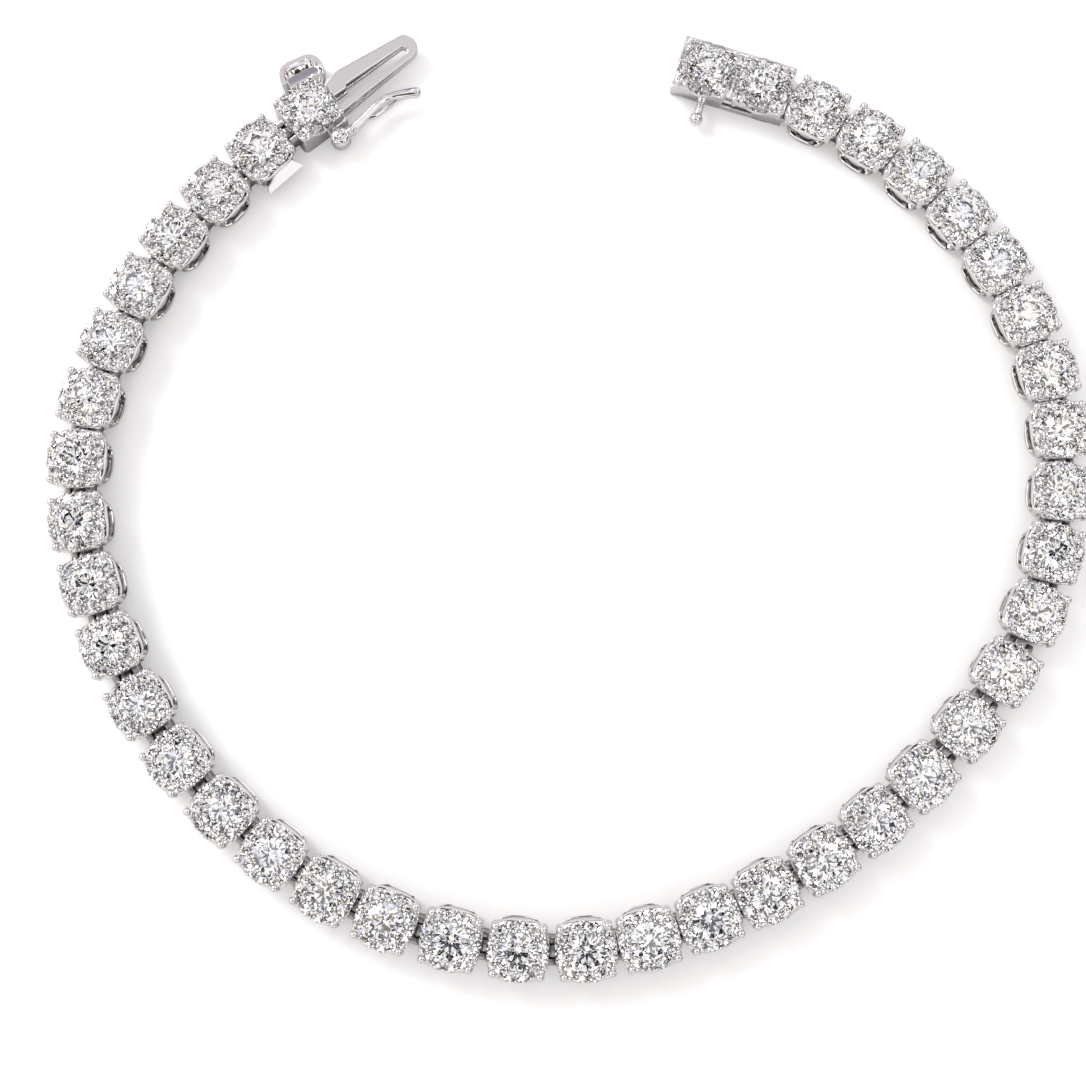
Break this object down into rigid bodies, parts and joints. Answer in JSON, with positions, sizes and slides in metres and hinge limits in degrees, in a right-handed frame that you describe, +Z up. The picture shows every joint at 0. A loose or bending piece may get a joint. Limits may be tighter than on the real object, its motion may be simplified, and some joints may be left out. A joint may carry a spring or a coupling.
{
  "type": "halo tennis bracelet",
  "caption": "Open halo tennis bracelet in white gold: round stone clusters on hinged links, with a box clasp, spring tongue and figure-eight safety lever.",
  "frame": {"origin": "centre of the loop's bounding box, on the surface that the bracelet lies on", "axes": "+Z up away from the surface, +Y towards the open clasp, +X towards the loop's side with the clasp box"},
  "size_m": [0.0708, 0.0656, 0.0031],
  "materials": {
    "white_gold": "polished",
    "white_gold_clasp": "polished",
    "white_gold_wire": "polished",
    "diamond": "polished"
  },
  "bodies": {
    "bracelet": {"link_02": "white_gold", "link_03": "white_gold", "link_04": "white_gold", "link_05": "white_gold", "link_06": "white_gold", "link_07": "white_gold", "link_08": "white_gold", "link_09": "white_gold", "link_10": "white_gold", "link_11": "white_gold", "link_12": "white_gold", "link_13": "white_gold", "link_14": "white_gold", "link_15": "white_gold", "link_16": "white_gold", "link_17": "white_gold", "link_18": "white_gold", "link_19": "white_gold", "link_20": "white_gold", "link_21": "white_gold", "link_22": "white_gold", "link_23": "white_gold", "link_24": "white_gold", "link_25": "white_gold", "link_26": "white_gold", "link_27": "white_gold", "link_28": "white_gold", "link_29": "white_gold", "link_30": "white_gold", "link_31": "white_gold", "link_32": "white_gold", "link_33": "white_gold", "link_34": "white_gold", "link_35": "white_gold", "link_36": "white_gold", "link_37": "white_gold", "link_38": "white_gold", "link_39": "white_gold", "tongue_link": "white_gold_clasp", "spring_tongue": "white_gold_clasp", "clasp_box": "white_gold_clasp"},
    "lever": {"safety_lever": "white_gold_wire"}
  },
  "joints": [
    {"name": "safety_lever_swing", "type": "hinge", "parent": "bracelet", "child": "lever", "pos_m": [-0.01599, 0.02498, 0.0012], "axis": [0, 0, 1], "range_deg": [-110, 3]}
  ]
}
